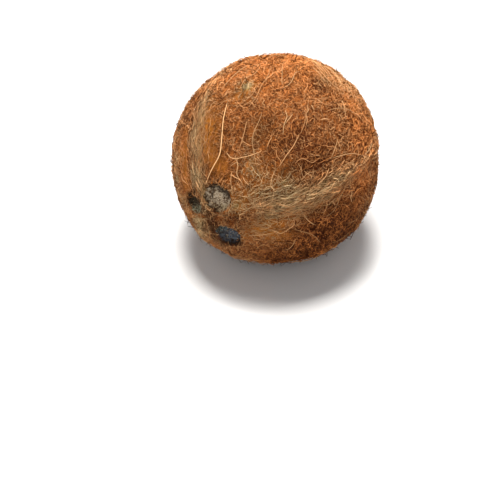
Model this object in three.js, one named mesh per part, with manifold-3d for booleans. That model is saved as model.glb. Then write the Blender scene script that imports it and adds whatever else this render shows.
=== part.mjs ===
// A whole ripe coconut with its husk stripped off: one hard, nearly round nut in a thin coat of
// coir. Three seams run from the eye end and fade past the widest section, three sunken eyes lie
// between them, the far end comes to a blunt point, and loose strands of coir arch off the coat.
//
// Millimetres, +Z up. The nut lies on its side on a small flat spot at z = 0, straight under its
// widest section, and its eye end faces -Y. A direction from its centre is given by `polar`, the
// angle from the middle of the eye end, and `around`, the angle about the nut's axis from +X to +Z.
import * as THREE from "three";
import { mergeVertices } from "three/addons/utils/BufferGeometryUtils.js";
import Module from "manifold-3d";

const degrees = THREE.MathUtils.degToRad;

// ---- Body ----
const EQUATOR_RADIUS = 53.8; // half the widest section, across the axis
const EYE_END = 56.4; // from the widest section to the eye end, before its flattening
const TIP_END = 54.8; // from the widest section to the far end, before its blunt point
const EYE_END_FLATTENING = { depth: 1.0, spread: degrees(26) };
const TIP_POINT = { height: 1.6, spread: degrees(17) };
const REST_DEPTH = 0.8; // how much of the round side the flat spot takes off
// Broad swells and flats, since no nut grows evenly: middle of each, height and angular spread.
const SWELLS = [
  { polar: degrees(85), around: degrees(-40), height: 1.1, spread: degrees(26) },
  { polar: degrees(122), around: degrees(2), height: -1.2, spread: degrees(24) },
  { polar: degrees(46), around: degrees(184), height: -0.7, spread: degrees(24) },
  { polar: degrees(66), around: degrees(303), height: -0.8, spread: degrees(17) },
];

// The part of the side it lies on that is searched for the lowest point.
const UNDERSIDE = {
  polarFrom: degrees(70),
  polarTo: degrees(110),
  aroundFrom: degrees(250),
  aroundTo: degrees(290),
};

// ---- Seams ----
const SEAM_ANGLES = [19, 123, 243].map(degrees); // where the three seams run, about the axis
const SEAM_CREST = { height: 0.9, halfWidth: 3.6 }; // the raised cord of fibres on the seam itself
const SEAM_SHOULDER = { height: 1.2, halfWidth: 22 }; // the shell swells to the seams near the eyes
const LOBE_HOLLOW = { depth: 0.8, halfWidth: 22 }; // and is drawn in along them past the middle
const SEAM_END = { polar: degrees(108), spread: degrees(9) };
const SHOULDER_END = { polar: degrees(64), spread: degrees(9) };

// ---- Eyes ----
const EYES = [
  { polar: degrees(11.6), around: degrees(179), radius: 5.9, depth: 2.6 },
  { polar: degrees(10.8), around: degrees(72), radius: 7.8, depth: 2.9 },
  { polar: degrees(15.2), around: degrees(-53), radius: 7.6, depth: 2.2 }, // the soft one
];
const EYE_WALL = 1.9; // width of the sloping wall round a pit
const EYE_LIP = { height: 0.55, offset: 0.6, halfWidth: 1.6 }; // the raised rim outside the wall

// ---- Coat of coir: a low relief of combed welts ----
const COAT_START = { from: degrees(22), to: degrees(40) }; // it thins out towards the eyes
const WELTS = [
  { height: 0.3, across: 17, along: 2, twist: 1.3, phase: 0.4 },
  { height: 0.25, across: 24, along: 3, twist: 2.1, phase: 2.2 },
  { height: 0.15, across: 9, along: 11, twist: 0.6, phase: 4.1 },
];

// ---- Loose strands of coir ----
const STRAND_COUNT = 66;
const STRAND_RADIUS = 0.5;
const STRAND_SIDES = 3;
const STRAND_STEPS = 6;
const STRAND_LENGTH = { least: 13, most: 32 };
const STRAND_LEAN = degrees(38); // furthest that a strand lies off the eye-to-tip direction
const STRAND_ARCH = 1.5; // height of a strand's middle over the coat
const STRAND_ROOT = 1.3; // depth of its two ends under the coat
const STRAND_FULLNESS = 0.6; // under 1 makes the arch rise steeply from the coat and run flat
const STRAND_SWAY = 1.5; // how far it snakes to each side
const STRAND_WAVES = { least: 0.5, most: 1.2 };
const EYE_CLEARING = degrees(30); // no strands nearer to the middle of the eye end
const REST_CLEARING = 14; // nor lower than this over the resting plane
const POLE_GUARD = 0.3; // least sine that a sideways step near the tip is divided by
const CHANCE_SEED = 7;

// ---- Mesh ----
const MERIDIANS = 72;
const FINE_STEP = degrees(1.3); // between rings over the eyes
const COARSE_STEP = degrees(4); // between rings elsewhere
const FINE_ZONE = { from: degrees(23), to: degrees(36) };

const { smoothstep, lerp } = THREE.MathUtils;
const bell = (x) => Math.exp(-x * x);
const fadeOut = (polar, end) => 1 / (1 + Math.exp((polar - end.polar) / end.spread));
const fraction = (x) => x - Math.floor(x);

// A fixed pseudo-random number from 0 to 1 for the n-th draw of item k.
function chance(k, n) {
  return fraction(Math.sin(k * 12.9898 + n * 78.233 + CHANCE_SEED) * 43758.5453);
}

function direction(polar, around) {
  return new THREE.Vector3(
    Math.sin(polar) * Math.cos(around),
    -Math.cos(polar),
    Math.sin(polar) * Math.sin(around),
  );
}

// The plain ovoid: two half ellipsoids that share the widest section.
function ovoidRadius(polar) {
  const end = polar < Math.PI / 2 ? EYE_END : TIP_END;
  return 1 / Math.hypot(Math.sin(polar) / EQUATOR_RADIUS, Math.cos(polar) / end);
}

function endShaping(polar) {
  const flattening = EYE_END_FLATTENING.depth * bell(polar / EYE_END_FLATTENING.spread);
  const point = TIP_POINT.height * bell((Math.PI - polar) / TIP_POINT.spread);
  return point - flattening;
}

function seamRelief(polar, around) {
  const spread = Math.sqrt(Math.sin(polar)); // all three die away where they meet
  const crestShare = fadeOut(polar, SEAM_END);
  const shoulderShare = fadeOut(polar, SHOULDER_END);
  let height = 0;
  for (const seam of SEAM_ANGLES) {
    const across = 2 * EQUATOR_RADIUS * Math.sin(polar) * Math.abs(Math.sin((around - seam) / 2));
    height += SEAM_CREST.height * crestShare * bell(across / SEAM_CREST.halfWidth);
    height += SEAM_SHOULDER.height * shoulderShare * bell(across / SEAM_SHOULDER.halfWidth);
    height -= LOBE_HOLLOW.depth * (1 - shoulderShare) * bell(across / LOBE_HOLLOW.halfWidth);
  }
  return height * spread;
}

function swellRelief(polar, around) {
  const here = direction(polar, around);
  let height = 0;
  for (const swell of SWELLS) {
    const away = here.angleTo(direction(swell.polar, swell.around));
    height += swell.height * bell(away / swell.spread);
  }
  return height;
}

function bodyRadius(polar, around) {
  const relief = seamRelief(polar, around) + swellRelief(polar, around);
  return ovoidRadius(polar) + endShaping(polar) + relief;
}

const eyeCentres = EYES.map((eye) =>
  direction(eye.polar, eye.around).multiplyScalar(bodyRadius(eye.polar, eye.around)),
);

// The pits of the eyes, each with a flat floor, a sloping wall and a raised lip round it. The wall
// follows the distance from the eye's centre, so that a pit stays round on the curved end.
function eyeRelief(polar, around) {
  const here = direction(polar, around).multiplyScalar(bodyRadius(polar, around));
  let height = 0;
  EYES.forEach((eye, i) => {
    const away = here.distanceTo(eyeCentres[i]);
    height -= eye.depth * (1 - smoothstep(away, eye.radius - EYE_WALL, eye.radius));
    height += EYE_LIP.height * bell((away - eye.radius - EYE_LIP.offset) / EYE_LIP.halfWidth);
  });
  return height;
}

function coatRelief(polar, around) {
  const share = Math.sin(polar) * smoothstep(polar, COAT_START.from, COAT_START.to);
  let height = 0;
  for (const welt of WELTS) {
    const drift = welt.twist * Math.sin(2.3 * polar + welt.phase + Math.sin(3 * around));
    height += welt.height * Math.sin(welt.across * around + welt.along * polar + drift);
  }
  return height * share;
}

function nutRadius(polar, around) {
  return bodyRadius(polar, around) + eyeRelief(polar, around) + coatRelief(polar, around);
}

const surfacePoint = (polar, around, lift = 0) =>
  direction(polar, around).multiplyScalar(nutRadius(polar, around) + lift);

// Angles of the rings between the two poles, close together over the eyes.
function ringAngles() {
  const rings = [];
  let polar = FINE_STEP;
  while (polar < Math.PI - COARSE_STEP / 2) {
    rings.push(polar);
    polar += lerp(FINE_STEP, COARSE_STEP, smoothstep(polar, FINE_ZONE.from, FINE_ZONE.to));
  }
  return rings;
}

function nutGeometry() {
  const rings = ringAngles();
  const points = [surfacePoint(0, 0)];
  for (const polar of rings)
    for (let m = 0; m < MERIDIANS; m++)
      points.push(surfacePoint(polar, (2 * Math.PI * m) / MERIDIANS));
  const tip = points.push(surfacePoint(Math.PI, 0)) - 1;
  const at = (ring, m) => 1 + ring * MERIDIANS + (m % MERIDIANS);
  const faces = [];
  for (let m = 0; m < MERIDIANS; m++) {
    faces.push(0, at(0, m), at(0, m + 1));
    for (let ring = 0; ring + 1 < rings.length; ring++) {
      faces.push(at(ring, m), at(ring + 1, m), at(ring + 1, m + 1));
      faces.push(at(ring, m), at(ring + 1, m + 1), at(ring, m + 1));
    }
    faces.push(tip, at(rings.length - 1, m + 1), at(rings.length - 1, m));
  }
  const geometry = new THREE.BufferGeometry().setFromPoints(points);
  geometry.setIndex(faces);
  return geometry;
}

// Where strand k starts and how it runs: starts are spread evenly by the golden angle.
function strandPlan(k) {
  const goldenAngle = Math.PI * (3 - Math.sqrt(5));
  return {
    polar: Math.acos(1 - (2 * (k + 0.5)) / STRAND_COUNT),
    around: k * goldenAngle,
    length: lerp(STRAND_LENGTH.least, STRAND_LENGTH.most, chance(k, 1)),
    lean: STRAND_LEAN * (2 * chance(k, 2) - 1),
    waves: lerp(STRAND_WAVES.least, STRAND_WAVES.most, chance(k, 3)),
    phase: 2 * Math.PI * chance(k, 4),
  };
}

// Points of strand k: it leaves the coat, snakes along it in a low arch and goes back in.
function strandRoute(k) {
  const plan = strandPlan(k);
  const points = [];
  for (let i = 0; i <= STRAND_STEPS; i++) {
    const share = i / STRAND_STEPS;
    const along = (share - 0.5) * plan.length;
    const sway = STRAND_SWAY * Math.sin(2 * Math.PI * plan.waves * share + plan.phase);
    const down = along * Math.cos(plan.lean) - sway * Math.sin(plan.lean);
    const side = along * Math.sin(plan.lean) + sway * Math.cos(plan.lean);
    const polar = plan.polar + down / EQUATOR_RADIUS;
    const around = plan.around + side / (EQUATOR_RADIUS * Math.max(Math.sin(polar), POLE_GUARD));
    const arch = Math.sin(Math.PI * share) ** STRAND_FULLNESS;
    const lift = (STRAND_ARCH + STRAND_ROOT) * arch - STRAND_ROOT;
    points.push(surfacePoint(polar, around, lift));
  }
  return points;
}

function strandSection() {
  const corners = [];
  for (let i = 0; i < STRAND_SIDES; i++) {
    const angle = (2 * Math.PI * i) / STRAND_SIDES;
    const corner = new THREE.Vector2(Math.cos(angle), Math.sin(angle));
    corners.push(corner.multiplyScalar(STRAND_RADIUS));
  }
  return new THREE.Shape(corners);
}

function strandGeometry(route) {
  return new THREE.ExtrudeGeometry(strandSection(), {
    steps: STRAND_STEPS,
    bevelEnabled: false,
    extrudePath: new THREE.CatmullRomCurve3(route),
  });
}

const wasm = await Module();
wasm.setup();

function toSolid(geometry) {
  const bare = geometry.clone();
  bare.deleteAttribute("normal");
  bare.deleteAttribute("uv");
  const merged = mergeVertices(bare, 1e-4);
  return new wasm.Manifold(
    new wasm.Mesh({
      numProp: 3,
      vertProperties: new Float32Array(merged.attributes.position.array),
      triVerts: new Uint32Array(merged.index.array),
    }),
  );
}

function toGeometry(solid) {
  const mesh = solid.getMesh();
  const geometry = new THREE.BufferGeometry();
  geometry.setAttribute("position", new THREE.BufferAttribute(mesh.vertProperties, 3));
  geometry.setIndex(new THREE.BufferAttribute(mesh.triVerts, 1));
  geometry.computeVertexNormals();
  return geometry;
}

// Depth of the lowest point of the coat below the nut's centre.
function lowestDepth() {
  const step = degrees(1);
  let lowest = 0;
  for (let polar = UNDERSIDE.polarFrom; polar < UNDERSIDE.polarTo; polar += step)
    for (let around = UNDERSIDE.aroundFrom; around < UNDERSIDE.aroundTo; around += step)
      lowest = Math.min(lowest, surfacePoint(polar, around).z);
  return -lowest;
}

const centreHeight = lowestDepth() - REST_DEPTH;

// Strands keep off the bare eye end and out from under the nut.
function isClear(route) {
  const eyeEnd = direction(0, 0);
  return route.every(
    (p) => p.angleTo(eyeEnd) > EYE_CLEARING && p.z + centreHeight > REST_CLEARING,
  );
}

// The nut and its clear strands in one solid, with the flat spot cut at the bottom.
function coconutGeometry() {
  let solid = toSolid(nutGeometry());
  for (let k = 0; k < STRAND_COUNT; k++) {
    const route = strandRoute(k);
    if (isClear(route)) solid = solid.add(toSolid(strandGeometry(route)));
  }
  const slabSize = 4 * EQUATOR_RADIUS;
  const slab = new THREE.BoxGeometry(slabSize, slabSize, slabSize);
  slab.translate(0, 0, -centreHeight - slabSize / 2);
  return toGeometry(solid.subtract(toSolid(slab)));
}

const coat = new THREE.MeshStandardMaterial({ color: 0x96602f, roughness: 0.92, metalness: 0 });
const coconut = new THREE.Mesh(coconutGeometry(), coat);
coconut.name = "coconut";
coconut.position.z = centreHeight;

const part = new THREE.Group();
part.add(coconut);
export default part;
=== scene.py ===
# %% [markdown]
# # A husked coconut
#
# Under its husk a ripe coconut is a hard, nearly round nut in a thin coat of matted brown fibre,
# called coir. Three seams run back from the eye end, three sunken eyes lie between them, and
# a few long pale strands hang loose over the mat.
#
# The lesson builds it in that order: the shell as a formula, the coir as thousands of small
# grown fibres, then the loose strands one by one. The solid model that this scene dresses comes
# first, because every size and place here has to agree with it.

# %% Load the solid model
import bpy
import math
from mathutils import Matrix, Vector


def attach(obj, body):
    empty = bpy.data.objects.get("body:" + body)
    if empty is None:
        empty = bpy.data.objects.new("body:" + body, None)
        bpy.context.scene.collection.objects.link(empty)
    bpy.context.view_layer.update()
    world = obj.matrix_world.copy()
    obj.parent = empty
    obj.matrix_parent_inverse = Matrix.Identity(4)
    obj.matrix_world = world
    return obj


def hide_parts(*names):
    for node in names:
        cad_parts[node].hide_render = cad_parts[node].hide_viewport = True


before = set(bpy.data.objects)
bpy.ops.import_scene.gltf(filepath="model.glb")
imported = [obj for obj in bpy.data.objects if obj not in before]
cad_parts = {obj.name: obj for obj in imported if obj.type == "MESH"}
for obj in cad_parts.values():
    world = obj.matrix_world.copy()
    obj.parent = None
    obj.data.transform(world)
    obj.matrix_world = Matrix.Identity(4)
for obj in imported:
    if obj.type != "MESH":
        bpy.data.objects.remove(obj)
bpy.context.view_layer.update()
MM = 0.001  # sizes below are in millimetres, and Blender's are in metres

# %% [markdown]
# ## Writing formulas as nodes
#
# The nut's form is a formula, and so are the tints and the lie of its fibres. Wiring formulas
# from Math nodes by hand is slow and hard to read. A small class helps: a `Flow` is one output
# socket, and adding or multiplying flows adds the node that does it. Given plain numbers, the
# same functions just work them out, so one formula serves both the nodes and the script.

# %% A number that flows through nodes


class Flow:
    """One output socket of a node tree, with arithmetic."""

    def __init__(self, tree, socket):
        self.tree = tree
        self.socket = socket

    def __add__(self, other):
        return calculate("ADD", self, other)

    __radd__ = __add__

    def __sub__(self, other):
        return calculate("SUBTRACT", self, other)

    def __rsub__(self, other):
        return calculate("SUBTRACT", other, self)

    def __mul__(self, other):
        return calculate("MULTIPLY", self, other)

    __rmul__ = __mul__

    def __truediv__(self, other):
        return calculate("DIVIDE", self, other)

    def __rtruediv__(self, other):
        return calculate("DIVIDE", other, self)

    def __neg__(self):
        return calculate("MULTIPLY", self, -1.0)


def feed(tree, socket, value):
    """Wires a flow into a socket, or sets a plain value on it."""
    if isinstance(value, Flow):
        tree.links.new(value.socket, socket)
    else:
        socket.default_value = value


def add_node(tree, kind, inputs=None, **settings):
    """A new node with its settings made and its inputs, by name or number, fed."""
    node = tree.nodes.new(kind)
    for name, value in settings.items():
        setattr(node, name, value)
    for key, value in (inputs or {}).items():
        feed(tree, node.inputs[key], value)
    return node


def flow_from(tree, kind, inputs=None, output=0, **settings):
    """The flow out of a new node, from one of its outputs, by name or number."""
    return Flow(tree, add_node(tree, kind, inputs, **settings).outputs[output])


def calculate(operation, *values):
    tree = next(v.tree for v in values if isinstance(v, Flow))
    return flow_from(tree, "ShaderNodeMath", dict(enumerate(values)), operation=operation)


# %% The functions that formulas use


def either(operation, by_script):
    """A function that is a node for flows, and plain Python for numbers."""

    def function(*values):
        if any(isinstance(v, Flow) for v in values):
            return calculate(operation, *values)
        return by_script(*values)

    return function


sin = either("SINE", math.sin)
cos = either("COSINE", math.cos)
exp = either("EXPONENT", math.exp)
root = either("SQRT", math.sqrt)
arccos = either("ARCCOSINE", math.acos)
arctan2 = either("ARCTAN2", math.atan2)
size_of = either("ABSOLUTE", abs)
least = either("MINIMUM", min)
most = either("MAXIMUM", max)
is_over = either("GREATER_THAN", lambda a, b: float(a > b))


def bell(x):
    """1 at 0, falling smoothly to both sides."""
    return exp(-(x * x))


def within(x, low, high):
    return least(most(x, low), high)


def rise(x, start, end):
    """0 before start, 1 past end, smooth between."""
    share = within((x - start) / (end - start), 0.0, 1.0)
    return share * share * (3.0 - 2.0 * share)


def blend(a, b, share):
    """a at a share of 0, b at a share of 1."""
    return a + (b - a) * share


def fade_out(x, end, spread):
    """1 well before end, half at end, 0 well past it."""
    return 1.0 / (1.0 + exp((x - end) / spread))


# %% [markdown]
# Vectors need a few nodes of their own: joining three numbers into one, taking them apart,
# and the usual vector arithmetic.

# %% Vectors that flow through nodes


def join(tree, x, y, z):
    return flow_from(tree, "ShaderNodeCombineXYZ", {"X": x, "Y": y, "Z": z})


def parts_of(vector):
    node = add_node(vector.tree, "ShaderNodeSeparateXYZ", {0: vector})
    return [Flow(vector.tree, out) for out in node.outputs]


def on_vectors(operation, *vectors):
    tree = next(v.tree for v in vectors if isinstance(v, Flow))
    output = "Value" if operation == "DOT_PRODUCT" else "Vector"
    return flow_from(tree, "ShaderNodeVectorMath", dict(enumerate(vectors)), output, operation=operation)


def scaled(vector, factor):
    inputs = {0: vector, "Scale": factor}
    return flow_from(vector.tree, "ShaderNodeVectorMath", inputs, operation="SCALE")


def position_in(tree):
    """Where each point of the mesh or the lines is."""
    return flow_from(tree, "GeometryNodeInputPosition")


# %% [markdown]
# ## The form of the nut
#
# A direction from the nut's centre is given by `polar`, the angle from the middle of the eye
# end, and `around`, the angle about its axis. The form is then one number for each direction:
# how far away the surface is. It is an egg, plus a flattened eye end and a blunt tip, plus the
# raised seams, some swells and flats, the pits of the eyes, and low welts in the coat.
#
# These are the values and formulas that the solid model has, in the same order, so that the
# dressed nut can't drift away from it. The shell differs from the solid in three ways only: it
# lies a coat's depth lower, the edges of its eyes wander, and their floors are lumpy.

# %% Sizes of the nut, in millimetres
radians = math.radians
EQUATOR_RADIUS = 53.8
EYE_END = 56.4
TIP_END = 54.8
FLATTENING, FLATTENING_SPREAD = 1.0, radians(26)
TIP_POINT, TIP_SPREAD = 1.6, radians(17)
REST_DEPTH = 0.8
SWELLS = [  # polar, around, height, spread
    (radians(85), radians(-40), 1.1, radians(26)),
    (radians(122), radians(2), -1.2, radians(24)),
    (radians(46), radians(184), -0.7, radians(24)),
    (radians(66), radians(303), -0.8, radians(17)),
]
SEAM_ANGLES = [radians(19), radians(123), radians(243)]  # the right, the left and the lower seam
SEAM_CREST, CREST_WIDTH = 0.9, 3.6
SEAM_SHOULDER, LOBE_HOLLOW, LOBE_WIDTH = 1.2, 0.8, 22
SEAM_END, SHOULDER_END, SEAM_FADE = radians(108), radians(64), radians(9)
EYES = [  # polar, around, radius, depth: the left one, the upper one and the soft lower one
    (radians(11.6), radians(179), 5.9, 2.6),
    (radians(10.8), radians(72), 7.8, 2.9),
    (radians(15.2), radians(-53), 7.6, 2.2),
]
EYE_WALL = 1.9
EYE_LIP, LIP_OFFSET, LIP_WIDTH = 0.55, 0.6, 1.6
COAT_START, COAT_FULL = radians(22), radians(40)
WELTS = [  # height, across, along, twist, phase
    (0.3, 17, 2, 1.3, 0.4),
    (0.25, 24, 3, 2.1, 2.2),
    (0.15, 9, 11, 0.6, 4.1),
]

# %% The distance of the surface, as a formula


def heading_to(polar, around):
    """The three parts of the unit vector in a direction."""
    return sin(polar) * cos(around), -1.0 * cos(polar), sin(polar) * sin(around)


def egg(polar, end):
    across = sin(polar) / EQUATOR_RADIUS
    along = cos(polar) / end
    return 1.0 / root(across * across + along * along)


def across_seams(polar, around):
    """Distance from each seam, square to it."""
    girth = 2.0 * EQUATOR_RADIUS * sin(polar)
    return [girth * size_of(sin((around - seam) * 0.5)) for seam in SEAM_ANGLES]


def seam_relief(polar, around):
    crest_share = fade_out(polar, SEAM_END, SEAM_FADE)
    shoulder_share = fade_out(polar, SHOULDER_END, SEAM_FADE)
    height = 0.0
    for across in across_seams(polar, around):
        lobe = bell(across / LOBE_WIDTH)
        height = height + SEAM_CREST * crest_share * bell(across / CREST_WIDTH)
        height = height + SEAM_SHOULDER * shoulder_share * lobe
        height = height - LOBE_HOLLOW * (1.0 - shoulder_share) * lobe
    return height * root(most(sin(polar), 0.0))


def angle_from(polar, around, spot_polar, spot_around):
    """Angle at the nut's centre between a direction and a spot."""
    here, spot = heading_to(polar, around), heading_to(spot_polar, spot_around)
    match = sum(a * b for a, b in zip(here, spot))
    return arccos(within(match, -1.0, 1.0))


def swell_relief(polar, around):
    return sum(
        height * bell(angle_from(polar, around, swell_polar, swell_around) / spread)
        for swell_polar, swell_around, height, spread in SWELLS
    )


def body_radius(polar, around):
    near_eyes = 1.0 - is_over(polar, math.pi / 2)
    ovoid = blend(egg(polar, TIP_END), egg(polar, EYE_END), near_eyes)
    flattening = FLATTENING * bell(polar / FLATTENING_SPREAD)
    point = TIP_POINT * bell((math.pi - polar) / TIP_SPREAD)
    return ovoid - flattening + point + seam_relief(polar, around) + swell_relief(polar, around)


# %% The eyes and the welts of the coat


def eye_distances(polar, around, radius):
    """Distance of a point on the body from the middle of each eye."""
    here = [part * radius for part in heading_to(polar, around)]
    distances = []
    for eye_polar, eye_around, _, _ in EYES:
        reach = body_radius(eye_polar, eye_around)
        eye = [part * reach for part in heading_to(eye_polar, eye_around)]
        distances.append(root(sum((a - b) * (a - b) for a, b in zip(here, eye))))
    return distances


def eye_relief(distances):
    height = 0.0
    for away, (_, _, radius, depth) in zip(distances, EYES):
        height = height - depth * (1.0 - rise(away, radius - EYE_WALL, radius))
        height = height + EYE_LIP * bell((away - radius - LIP_OFFSET) / LIP_WIDTH)
    return height


def coat_relief(polar, around):
    height = 0.0
    for welt, across, along, twist, phase in WELTS:
        drift = twist * sin(2.3 * polar + phase + sin(3.0 * around))
        height = height + welt * sin(across * around + along * polar + drift)
    return height * sin(polar) * rise(polar, COAT_START, COAT_FULL)


# %% [markdown]
# ## The shell
#
# The shell is made by Geometry Nodes from a sphere, because its shape follows a rule. Each
# point of the sphere gives a direction, and the formula moves the point out to the surface.
# The rings are drawn together towards the eye end, where the finest forms are.
#
# The same tree writes down facts about each point, as named attributes: how far it is from
# each seam and each eye, its polar angle, and which of the three lobes it is in. The fibres and
# the materials read them later.

# %% Helpers for Geometry Nodes trees


def cloud(tree, vector, scale, detail=3.0, roughness=0.55):
    """A noise pattern, about 0.5 on average."""
    inputs = {"Vector": vector, "Scale": scale, "Detail": detail, "Roughness": roughness}
    return flow_from(tree, "ShaderNodeTexNoise", inputs)


def new_tree(name, inputs):
    """A tree from one geometry to another, with named inputs: name, socket kind, default."""
    tree = bpy.data.node_groups.new(name, "GeometryNodeTree")
    tree.interface.new_socket("Geometry", in_out="INPUT", socket_type="NodeSocketGeometry")
    tree.interface.new_socket("Geometry", in_out="OUTPUT", socket_type="NodeSocketGeometry")
    for label, kind, default in inputs:
        socket = tree.interface.new_socket(label, in_out="INPUT", socket_type=kind)
        if default is not None:
            socket.default_value = default
    start = tree.nodes.new("NodeGroupInput")
    return tree, {out.name: Flow(tree, out) for out in start.outputs if out.name}


def read_mark(tree, name, kind="FLOAT"):
    inputs = {"Name": name}
    return flow_from(tree, "GeometryNodeInputNamedAttribute", inputs, "Attribute", data_type=kind)


def write_mark(geometry, name, value, kind="FLOAT", domain="POINT"):
    inputs = {"Geometry": geometry, "Name": name, "Value": value}
    settings = {"data_type": kind, "domain": domain}
    return flow_from(geometry.tree, "GeometryNodeStoreNamedAttribute", inputs, **settings)


def move_points(geometry, position):
    inputs = {"Geometry": geometry, "Position": position}
    return flow_from(geometry.tree, "GeometryNodeSetPosition", inputs)


def finish_tree(geometry, material):
    """Smooth shading, realized instances and a material, as every piece here ends."""
    tree = geometry.tree
    smooth = flow_from(tree, "GeometryNodeSetShadeSmooth", {"Geometry": geometry})
    real = flow_from(tree, "GeometryNodeRealizeInstances", {0: smooth})
    dressed = flow_from(tree, "GeometryNodeSetMaterial", {"Geometry": real, "Material": material})
    feed(tree, tree.nodes.new("NodeGroupOutput").inputs[0], dressed)


def grow(name, start_mesh, tree, values):
    """Runs a tree on a mesh and returns its result as a plain mesh object."""
    maker = bpy.data.objects.new(name + "_maker", start_mesh)
    bpy.context.scene.collection.objects.link(maker)
    modifier = maker.modifiers.new("grow", "NODES")
    modifier.node_group = tree
    for item in tree.interface.items_tree:
        if item.in_out == "INPUT" and item.name in values:
            modifier[item.identifier] = values[item.name]
    graph = bpy.context.evaluated_depsgraph_get()
    mesh = bpy.data.meshes.new_from_object(maker.evaluated_get(graph), depsgraph=graph)
    maker.modifiers.remove(modifier)
    bpy.data.objects.remove(maker)
    mesh.name = name
    piece = bpy.data.objects.new(name, mesh)
    bpy.context.scene.collection.objects.link(piece)
    triangles = sum(len(face.vertices) - 2 for face in mesh.polygons)
    print(f"{name}: {triangles} triangles")
    return piece


# %% The shell's tree
MERIDIANS = 240
RINGS = 168
RING_CROWDING = 0.5  # 0 spaces the rings evenly; more draws them towards the eye end
COAT_DEPTH = 0.5  # the shell lies this far under the solid model's surface, which is the coat's
COAT_EDGE = 4.0  # and the whole of it this far from an eye's wall
RAGGED, RAGGED_SCALE = 3.4, 17.0  # how far, and how finely, an eye's edge wanders
LUMPS, LUMP_SCALE = 1.4, 34.0  # the same for the height of its floor
LUMPS_FADE = (-2.0, -0.5)  # where, towards an eye's wall, the lumps fade away


def gap_to_eyes(distances):
    """Distance from the nearest eye's wall, under 0 inside the eye."""
    gaps = [away - radius for away, (_, _, radius, _) in zip(distances, EYES)]
    return least(least(gaps[0], gaps[1]), gaps[2])


def shell_tree(material):
    inputs = [("Meridians", "NodeSocketInt", MERIDIANS), ("Rings", "NodeSocketInt", RINGS)]
    tree, given = new_tree("nut from a formula", inputs)
    sizes = {"Segments": given["Meridians"], "Rings": given["Rings"], "Radius": 1.0}
    ball = flow_from(tree, "GeometryNodeMeshUVSphere", sizes, "Mesh")
    x, y, z = parts_of(position_in(tree))
    turn = arccos(within(z, -1.0, 1.0)) / math.pi
    polar = math.pi * blend(turn, turn * turn, RING_CROWDING)
    around = arctan2(y, x)

    body = body_radius(polar, around)
    heading = join(tree, *heading_to(polar, around))
    ragged = RAGGED * (cloud(tree, heading, RAGGED_SCALE) - 0.5)
    eyes = [away + ragged for away in eye_distances(polar, around, body)]
    gap = gap_to_eyes(eyes)
    lumps = LUMPS * (cloud(tree, heading, LUMP_SCALE) - 0.5) * (1.0 - rise(gap, *LUMPS_FADE))
    coat_depth = COAT_DEPTH * rise(gap, 0.0, COAT_EDGE)
    radius = body + eye_relief(eyes) + lumps + coat_relief(polar, around) - coat_depth
    lower_lobe = is_over(SEAM_ANGLES[0], around) * is_over(around, SEAM_ANGLES[2] - math.tau)
    upper_lobe = is_over(SEAM_ANGLES[1], around) * is_over(around, SEAM_ANGLES[0])

    place = scaled(heading, radius * MM)
    seams = join(tree, *across_seams(polar, around))
    ball = write_mark(ball, "polar", polar)
    ball = write_mark(ball, "seam_mm", seams, "FLOAT_VECTOR")
    ball = write_mark(ball, "eye_mm", join(tree, *eyes), "FLOAT_VECTOR")
    ball = write_mark(ball, "lobe", 1.0 + lower_lobe - upper_lobe)
    finish_tree(move_points(ball, place), material)
    return tree


# %% [markdown]
# The tree leaves the nut centred on its own middle. It is then let down until the flat spot,
# where a real nut's soft coat is pressed flat, is level with the floor.

# %% Grow the shell and settle it
FLOOR_CLEARANCE = 0.05


def settle(mesh):
    """Lowers the nut on to its flat spot, and returns how high its middle then is."""
    places = [0.0] * (3 * len(mesh.vertices))
    mesh.vertices.foreach_get("co", places)
    height = -min(places[2::3]) - REST_DEPTH * MM
    places[2::3] = [max(z + height, 0.0) for z in places[2::3]]
    mesh.vertices.foreach_set("co", places)
    mesh.update()
    return height


shell_skin = bpy.data.materials.new("coconut_shell")
shell = grow("shell", bpy.data.meshes.new("seed"), shell_tree(shell_skin), {})
CENTRE_HEIGHT = settle(shell.data)
CENTRE = (0.0, 0.0, CENTRE_HEIGHT)
print("height of the nut's middle", round(CENTRE_HEIGHT, 5))

# %% [markdown]
# ## The camera
#
# The camera comes before the fibres because a few of the loose strands are drawn in its frame.
# It looks down on the nut from above its eye end, off to one side, and it is aimed past the
# nut rather than shifted, so that the nut sits high and a little right in the frame.

# %% Camera
FRAME = 500  # the frame is this many pixels each way
VIEW_AROUND, VIEW_ABOVE = radians(34.7), radians(36.6)
VIEW_DISTANCE = 0.8
PIXEL = 0.52 * MM  # what one pixel spans at the nut's middle
NUT_IN_FRAME = (275.6, 157.7)  # the pixel at which the nut's middle is seen
SENSOR_WIDTH = 36


def view_axes(back):
    """The camera's right and up, for a unit vector that points back at it."""
    right = Vector((0, 0, 1)).cross(back).normalized()
    return right, back.cross(right)


def make_camera():
    flat = math.cos(VIEW_ABOVE)
    back = Vector((math.sin(VIEW_AROUND) * flat, -math.cos(VIEW_AROUND) * flat, math.sin(VIEW_ABOVE)))
    right, up = view_axes(back)
    aside = (NUT_IN_FRAME[0] - FRAME / 2) * PIXEL / VIEW_DISTANCE
    above = (FRAME / 2 - NUT_IN_FRAME[1]) * PIXEL / VIEW_DISTANCE
    aim = (back + right * aside + up * above).normalized()
    aim_right, aim_up = view_axes(aim)
    camera = bpy.data.objects.new("camera", bpy.data.cameras.new("camera"))
    camera.data.sensor_width = SENSOR_WIDTH
    camera.data.lens = SENSOR_WIDTH * VIEW_DISTANCE / (FRAME * PIXEL)
    turn = Matrix((aim_right, aim_up, aim)).transposed().to_4x4()
    camera.matrix_world = Matrix.Translation(Vector(CENTRE) + back * VIEW_DISTANCE) @ turn
    bpy.context.scene.collection.objects.link(camera)
    bpy.context.scene.camera = camera
    return camera


camera = make_camera()
print("lens", round(camera.data.lens, 1), "mm")

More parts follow.
